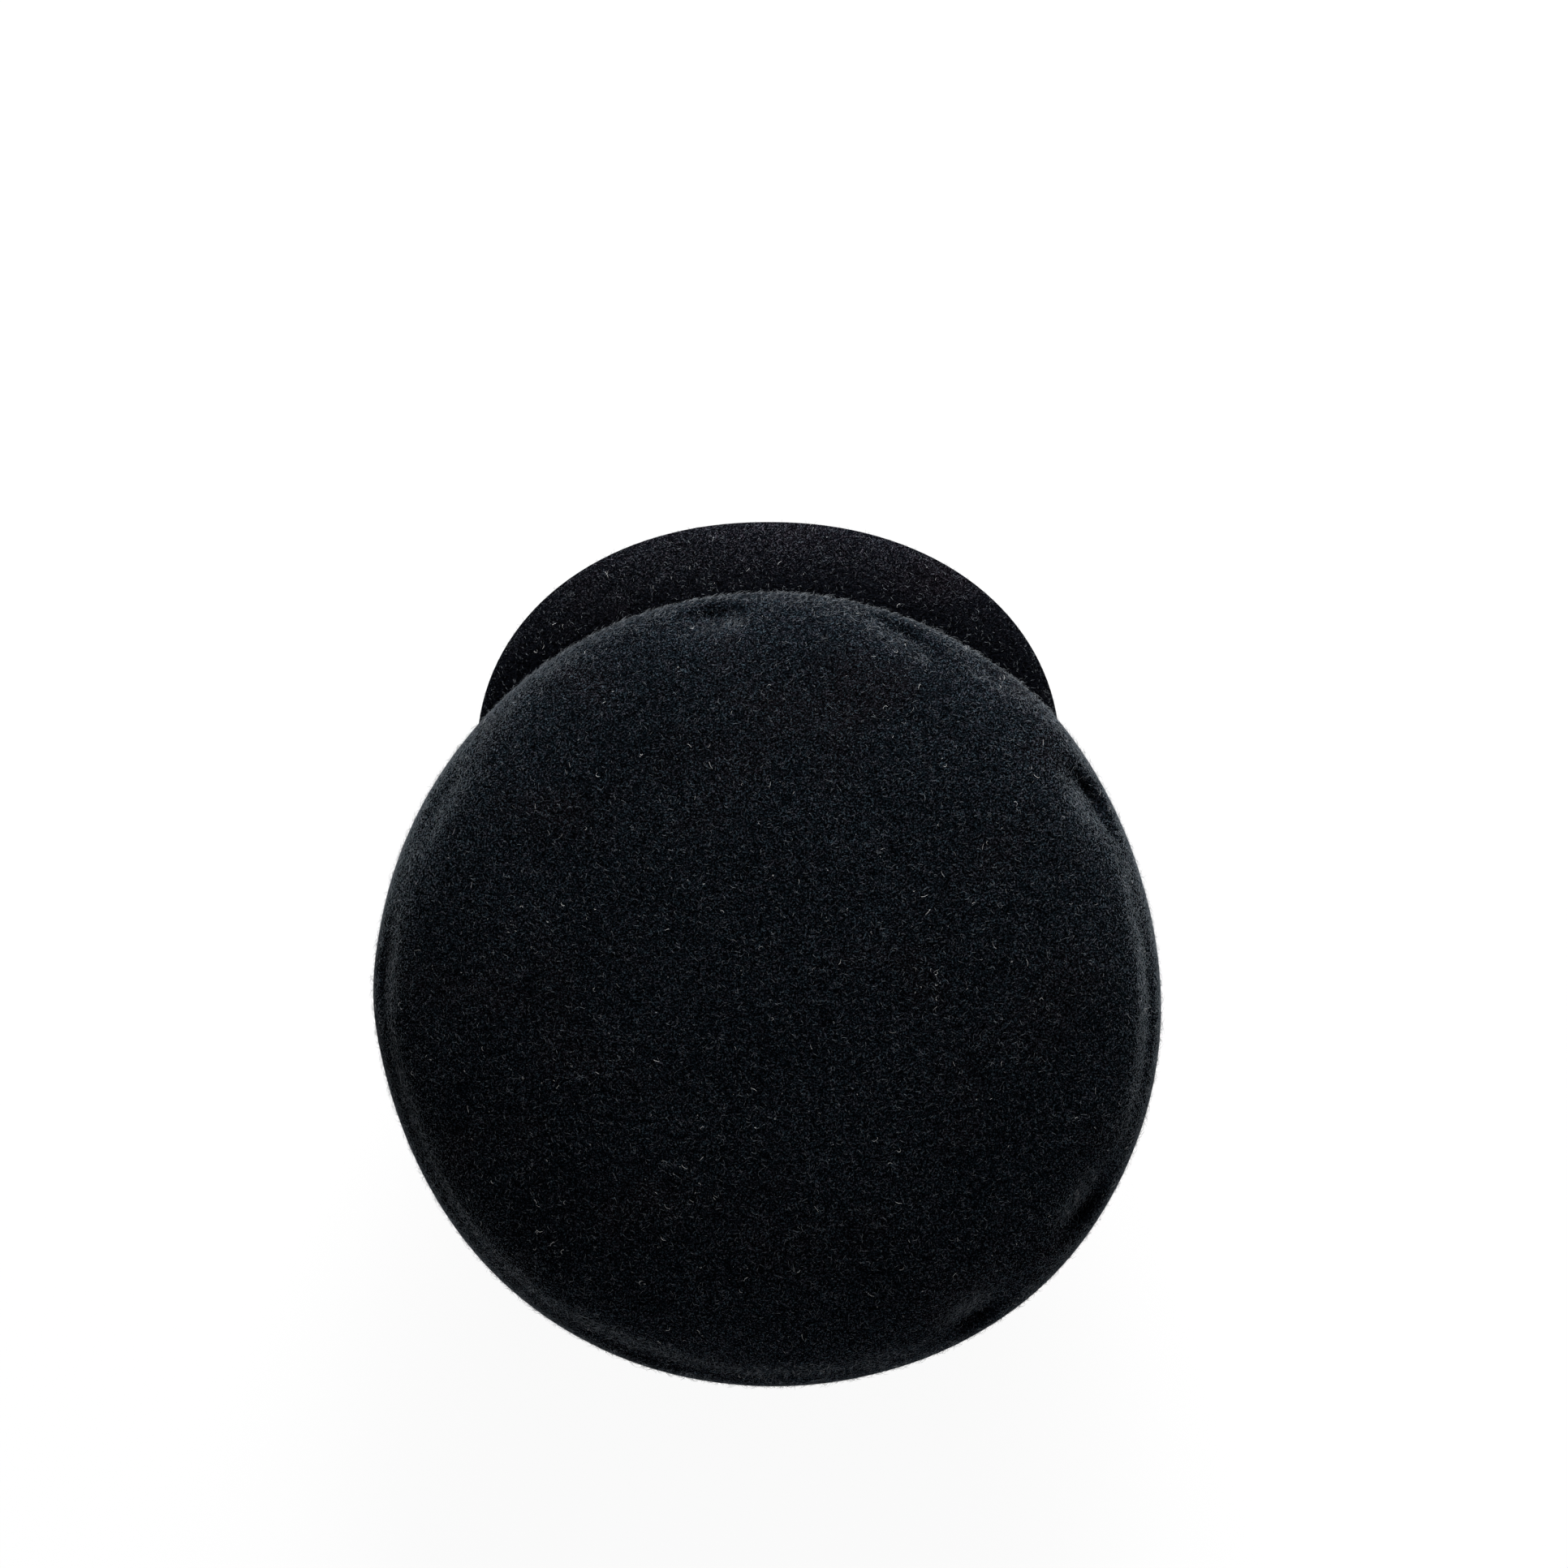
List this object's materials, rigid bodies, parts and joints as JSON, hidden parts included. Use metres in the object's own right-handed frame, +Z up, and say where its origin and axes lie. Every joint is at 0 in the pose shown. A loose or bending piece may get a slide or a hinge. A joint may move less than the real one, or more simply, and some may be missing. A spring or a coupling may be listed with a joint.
{
  "type": "visor beret",
  "caption": "Soft felt beret with a wide round crown over a fitted band, a short stiffened visor, a lining and a ribbon sweatband.",
  "frame": {"origin": "centre of the head opening, in the plane of the band's lower edge", "axes": "+Z up through the crown, -Y forwards along the visor, +X to the wearer's left"},
  "size_m": [0.2507, 0.2782, 0.088],
  "materials": {
    "crown_felt": "black fulled wool felt with a short raised nap",
    "visor_felt": "black wool felt with a closely cropped nap",
    "satin": "black satin lining cloth",
    "ribbon": "black ribbed ribbon",
    "seam_tape": "black cotton tape",
    "buckram": "stiff open-weave interlining",
    "board": "flexible visor board"
  },
  "bodies": {
    "cap": {"crown_shell": "crown_felt", "outer_band": "crown_felt", "band_stiffener": "buckram", "crown_seam_tape": "seam_tape", "sweatband": "ribbon", "sweatband_join_tab": "ribbon", "lining_side": "satin", "lining_tip": "satin"},
    "visor": {"visor_top_cover": "visor_felt", "visor_board": "board", "visor_under_cover": "visor_felt"}
  },
  "joints": [
    {"name": "visor_flex", "type": "hinge", "parent": "cap", "child": "visor", "pos_m": [0, -0.1033, 0.0134], "axis": [-1, 0, 0], "range_deg": [-8, 10], "stiffness_Nm_per_rad": 0.7}
  ]
}
